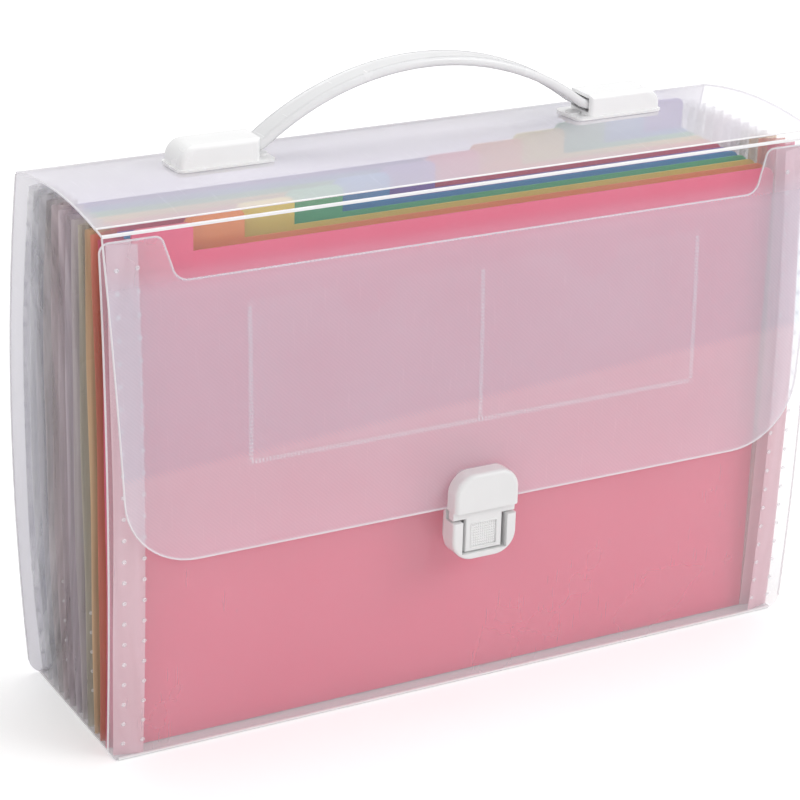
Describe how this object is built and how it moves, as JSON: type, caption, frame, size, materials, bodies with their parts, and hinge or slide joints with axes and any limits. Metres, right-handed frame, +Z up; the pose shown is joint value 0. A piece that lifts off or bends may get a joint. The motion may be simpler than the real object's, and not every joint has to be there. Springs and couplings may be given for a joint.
{
  "type": "expanding file",
  "caption": "Upright expanding file: translucent cover with hinged lid, latched flap and carrying handle around pleated sides and stepped, tabbed dividers.",
  "frame": {"origin": "centre of the foot of the object's box, on the surface that it stands on", "axes": "+X to the right along the file's width, +Y to the back, +Z up; the flap and latch face -Y"},
  "size_m": [0.338, 0.1168, 0.27],
  "materials": {
    "cover_sheet": "frosted, fine line texture, translucent",
    "gusset_film": "frosted, translucent",
    "card_film": "clear film",
    "latch_plastic": "satin white",
    "bracket_plastic": "satin white",
    "strap_plastic": "satin, slightly clear",
    "leaf_pink": "translucent sheet",
    "tab_pink": "satin moulded",
    "leaf_orange": "translucent sheet",
    "tab_orange": "satin moulded",
    "leaf_yellow": "translucent sheet",
    "tab_yellow": "satin moulded",
    "leaf_green": "translucent sheet",
    "tab_green": "satin moulded",
    "leaf_blue": "translucent sheet",
    "tab_blue": "satin moulded",
    "leaf_purple": "translucent sheet",
    "tab_purple": "satin moulded"
  },
  "bodies": {
    "case": {"back_panel": "cover_sheet", "base_panel": "cover_sheet", "gusset_left": "gusset_film", "gusset_right": "gusset_film"},
    "lid": {"top_panel": "cover_sheet", "handle_strap": "strap_plastic", "bracket_left": "bracket_plastic", "bracket_base_left": "bracket_plastic", "bracket_backplate_left": "bracket_plastic", "bracket_rivets_left": "bracket_plastic", "bracket_right": "bracket_plastic", "bracket_base_right": "bracket_plastic", "bracket_backplate_right": "bracket_plastic", "bracket_rivets_right": "bracket_plastic"},
    "flap": {"flap_panel": "cover_sheet", "latch_cap": "latch_plastic", "latch_cap_backplate": "latch_plastic", "latch_cap_rivets": "latch_plastic"},
    "front": {"front_panel": "cover_sheet", "card_pocket": "card_film", "latch_housing": "latch_plastic", "latch_housing_backplate": "latch_plastic", "latch_housing_rivets": "latch_plastic"},
    "latch_press": {"latch_tongue": "latch_plastic"},
    "strap_end_left": {"handle_end_left": "strap_plastic"},
    "strap_end_right": {"handle_end_right": "strap_plastic"},
    "leaf_01": {"divider_01": "leaf_pink", "index_tab_01": "tab_pink"},
    "leaf_02": {"divider_02": "leaf_orange", "index_tab_02": "tab_orange"},
    "leaf_03": {"divider_03": "leaf_yellow", "index_tab_03": "tab_yellow"},
    "leaf_04": {"divider_04": "leaf_green", "index_tab_04": "tab_green"},
    "leaf_05": {"divider_05": "leaf_blue", "index_tab_05": "tab_blue"},
    "leaf_06": {"divider_06": "leaf_purple", "index_tab_06": "tab_purple"},
    "leaf_07": {"divider_07": "leaf_pink", "index_tab_07": "tab_pink"},
    "leaf_08": {"divider_08": "leaf_orange", "index_tab_08": "tab_orange"},
    "leaf_09": {"divider_09": "leaf_yellow", "index_tab_09": "tab_yellow"},
    "leaf_10": {"divider_10": "leaf_green", "index_tab_10": "tab_green"},
    "leaf_11": {"divider_11": "leaf_blue", "index_tab_11": "tab_blue"},
    "leaf_12": {"divider_12": "leaf_purple", "index_tab_12": "tab_purple"}
  },
  "joints": [
    {"name": "lid_hinge", "type": "hinge", "parent": "case", "child": "lid", "pos_m": [0, 0.04436, 0.23], "axis": [-1, 0, 0], "range_deg": [0, 190], "deforming": ["gusset_left", "gusset_right"]},
    {"name": "flap_hinge", "type": "hinge", "parent": "lid", "child": "flap", "pos_m": [0, -0.04604, 0.23], "axis": [-1, 0, 0], "range_deg": [0, 160]},
    {"name": "front_fan", "type": "hinge", "parent": "case", "child": "front", "pos_m": [0, -0.04364, 0], "axis": [1, 0, 0], "range_deg": [0, 19]},
    {"name": "latch_press", "type": "hinge", "parent": "front", "child": "latch_press", "pos_m": [0, -0.05336, 0.07], "axis": [-1, 0, 0], "range_deg": [0, 4], "stiffness_Nm_per_rad": 0.8},
    {"name": "strap_slide_left", "type": "slide", "parent": "lid", "child": "strap_end_left", "axis": [-1, 0, 0], "range_m": [0, 0.006], "stiffness_N_per_m": 150, "deforming": ["handle_strap"]},
    {"name": "strap_slide_right", "type": "slide", "parent": "lid", "child": "strap_end_right", "axis": [1, 0, 0], "range_m": [0, 0.006]},
    {"name": "leaf_fan_01", "type": "hinge", "parent": "case", "child": "leaf_01", "pos_m": [0, -0.03619, 0.0012], "axis": [1, 0, 0], "range_deg": [0, 17.55]},
    {"name": "leaf_fan_02", "type": "hinge", "parent": "case", "child": "leaf_02", "pos_m": [0, -0.02954, 0.0012], "axis": [1, 0, 0], "range_deg": [0, 16.09]},
    {"name": "leaf_fan_03", "type": "hinge", "parent": "case", "child": "leaf_03", "pos_m": [0, -0.0229, 0.0012], "axis": [1, 0, 0], "range_deg": [0, 14.62]},
    {"name": "leaf_fan_04", "type": "hinge", "parent": "case", "child": "leaf_04", "pos_m": [0, -0.01625, 0.0012], "axis": [1, 0, 0], "range_deg": [0, 13.16]},
    {"name": "leaf_fan_05", "type": "hinge", "parent": "case", "child": "leaf_05", "pos_m": [0, -0.00961, 0.0012], "axis": [1, 0, 0], "range_deg": [0, 11.7]},
    {"name": "leaf_fan_06", "type": "hinge", "parent": "case", "child": "leaf_06", "pos_m": [0, -0.00296, 0.0012], "axis": [1, 0, 0], "range_deg": [0, 10.24]},
    {"name": "leaf_fan_07", "type": "hinge", "parent": "case", "child": "leaf_07", "pos_m": [0, 0.00369, 0.0012], "axis": [1, 0, 0], "range_deg": [0, 8.78]},
    {"name": "leaf_fan_08", "type": "hinge", "parent": "case", "child": "leaf_08", "pos_m": [0, 0.01033, 0.0012], "axis": [1, 0, 0], "range_deg": [0, 7.32]},
    {"name": "leaf_fan_09", "type": "hinge", "parent": "case", "child": "leaf_09", "pos_m": [0, 0.01698, 0.0012], "axis": [1, 0, 0], "range_deg": [0, 5.86]},
    {"name": "leaf_fan_10", "type": "hinge", "parent": "case", "child": "leaf_10", "pos_m": [0, 0.02362, 0.0012], "axis": [1, 0, 0], "range_deg": [0, 4.39]},
    {"name": "leaf_fan_11", "type": "hinge", "parent": "case", "child": "leaf_11", "pos_m": [0, 0.03027, 0.0012], "axis": [1, 0, 0], "range_deg": [0, 2.93]},
    {"name": "leaf_fan_12", "type": "hinge", "parent": "case", "child": "leaf_12", "pos_m": [0, 0.03692, 0.0012], "axis": [1, 0, 0], "range_deg": [0, 1.47]}
  ],
  "couplings": [
    {"joint": "front_fan", "follows": "lid_hinge", "ratio": 0.1},
    {"joint": "strap_slide_right", "follows": "strap_slide_left", "ratio": 1},
    {"joint": "leaf_fan_01", "follows": "lid_hinge", "ratio": 0.092308},
    {"joint": "leaf_fan_02", "follows": "lid_hinge", "ratio": 0.084615},
    {"joint": "leaf_fan_03", "follows": "lid_hinge", "ratio": 0.076923},
    {"joint": "leaf_fan_04", "follows": "lid_hinge", "ratio": 0.069231},
    {"joint": "leaf_fan_05", "follows": "lid_hinge", "ratio": 0.061538},
    {"joint": "leaf_fan_06", "follows": "lid_hinge", "ratio": 0.053846},
    {"joint": "leaf_fan_07", "follows": "lid_hinge", "ratio": 0.046154},
    {"joint": "leaf_fan_08", "follows": "lid_hinge", "ratio": 0.038462},
    {"joint": "leaf_fan_09", "follows": "lid_hinge", "ratio": 0.030769},
    {"joint": "leaf_fan_10", "follows": "lid_hinge", "ratio": 0.023077},
    {"joint": "leaf_fan_11", "follows": "lid_hinge", "ratio": 0.015385},
    {"joint": "leaf_fan_12", "follows": "lid_hinge", "ratio": 0.007692}
  ]
}
